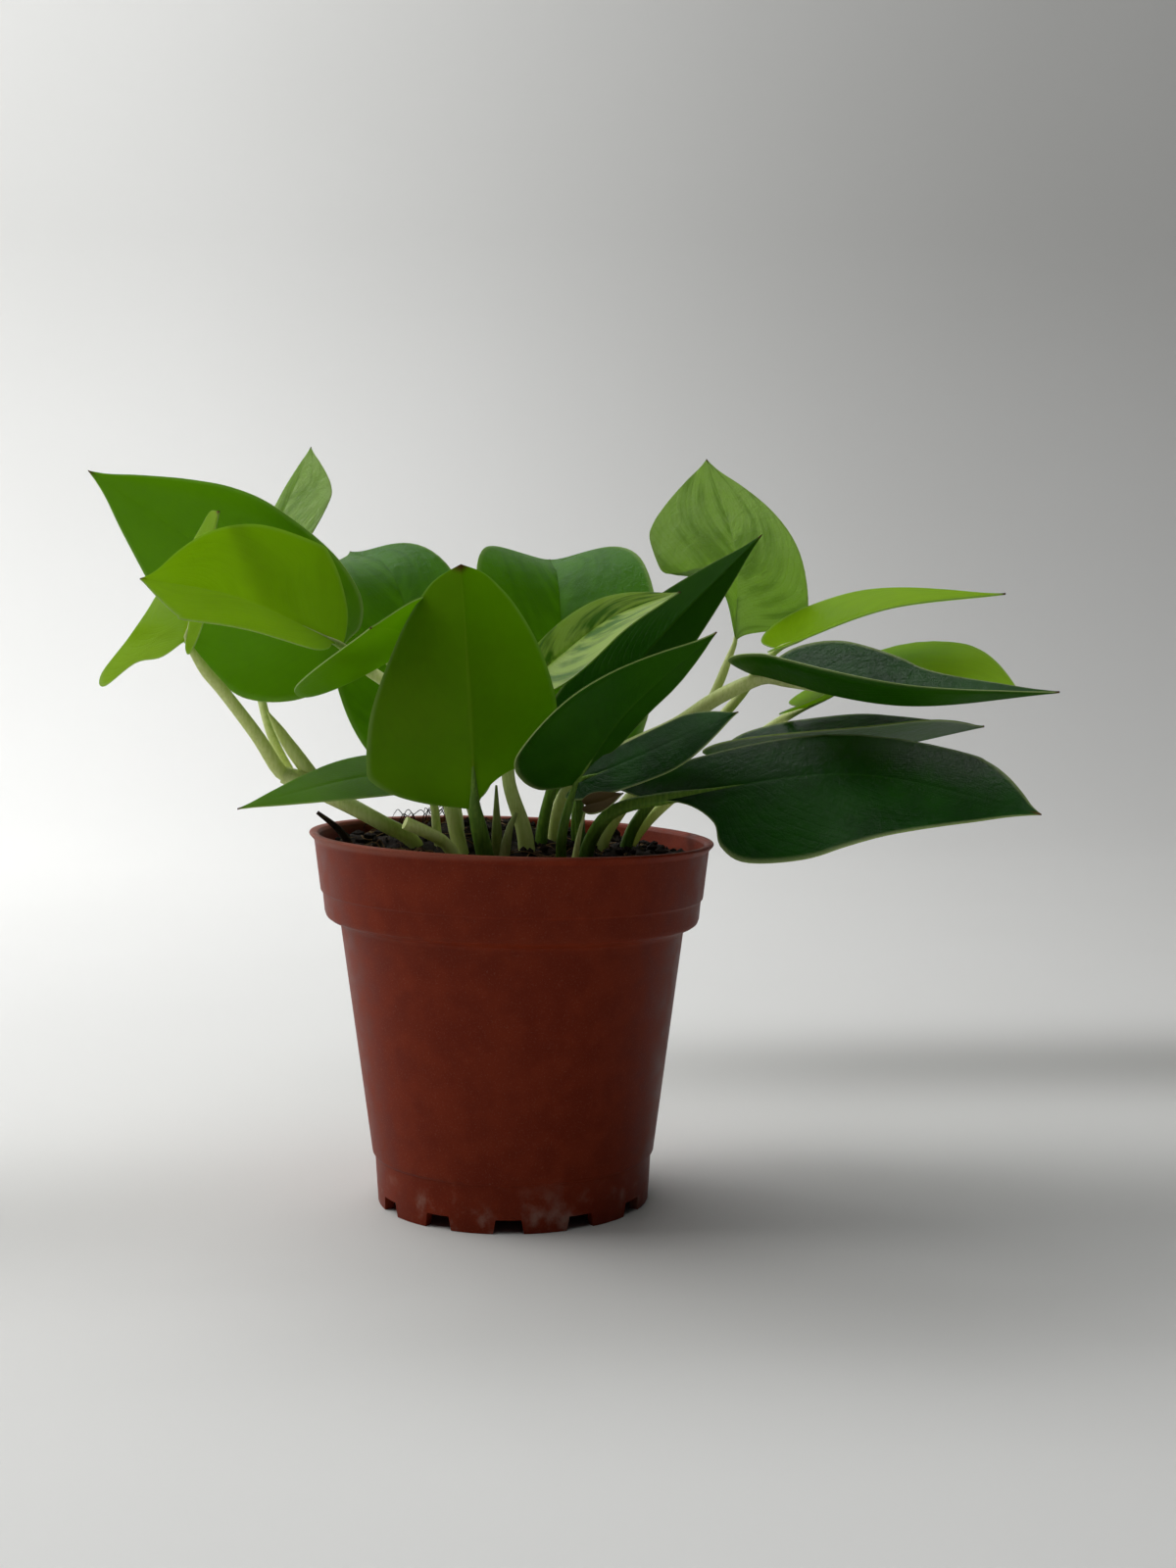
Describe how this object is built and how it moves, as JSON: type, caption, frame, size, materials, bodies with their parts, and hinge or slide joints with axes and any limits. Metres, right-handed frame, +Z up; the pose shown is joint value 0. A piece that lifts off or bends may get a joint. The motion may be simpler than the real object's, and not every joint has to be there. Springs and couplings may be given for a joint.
{
  "type": "potted plant",
  "caption": "Small trailing plant with thick pointed heart-shaped leaves on long stalks, rooted in peat in a round tapered plastic nursery pot with a collar and a notched foot.",
  "frame": {"origin": "centre of the pot's base, on the surface that the pot stands on", "axes": "+Z up, -Y towards the viewer's side of the picture, +X along the widest spread of the leaves, to the viewer's right"},
  "size_m": [0.238, 0.134, 0.198],
  "materials": {
    "pot_plastic": "satin",
    "peat": "matte",
    "leaf_dark": "gloss",
    "leaf_mid": "satin",
    "leaf_light": "satin",
    "leaf_dry": "matte",
    "stalk": "satin",
    "sheath": "satin",
    "dry_wood": "matte"
  },
  "bodies": {
    "root": {"cut_stem": "stalk", "leaf_back_centre": "leaf_dark", "leaf_back_left": "leaf_dark", "leaf_back_right": "leaf_light", "leaf_centre_long": "leaf_dark", "leaf_centre_low": "leaf_dark", "leaf_centre_rolled": "leaf_dark", "leaf_front": "leaf_mid", "leaf_left_back": "leaf_light", "leaf_left_folded": "leaf_mid", "leaf_left_large": "leaf_mid", "leaf_left_low": "leaf_mid", "leaf_left_near": "leaf_light", "leaf_left_outer": "leaf_light", "leaf_right_behind": "leaf_light", "leaf_right_front": "leaf_dark", "leaf_right_glossy": "leaf_dark", "leaf_right_long": "leaf_dark", "leaf_right_pale": "leaf_light", "leaf_sheath_front": "sheath", "leaf_sheath_middle": "sheath", "leaf_sheath_right": "sheath", "leaf_small_dry": "leaf_dry", "leaf_young_striped": "leaf_light", "pot": "pot_plastic", "soil": "peat", "stalk_back_centre": "stalk", "stalk_back_left": "stalk", "stalk_back_right": "stalk", "stalk_centre_long": "stalk", "stalk_centre_low": "stalk", "stalk_centre_rolled": "stalk", "stalk_front": "stalk", "stalk_left_back": "stalk", "stalk_left_folded": "stalk", "stalk_left_large": "stalk", "stalk_left_low": "stalk", "stalk_left_near": "stalk", "stalk_left_outer": "stalk", "stalk_right_behind": "stalk", "stalk_right_front": "stalk", "stalk_right_glossy": "stalk", "stalk_right_long": "stalk", "stalk_right_pale": "stalk", "stalk_small_dry": "stalk", "stalk_young_striped": "stalk", "twig": "dry_wood", "vine_shoot": "stalk", "vine_stem": "stalk"}
  },
  "joints": []
}
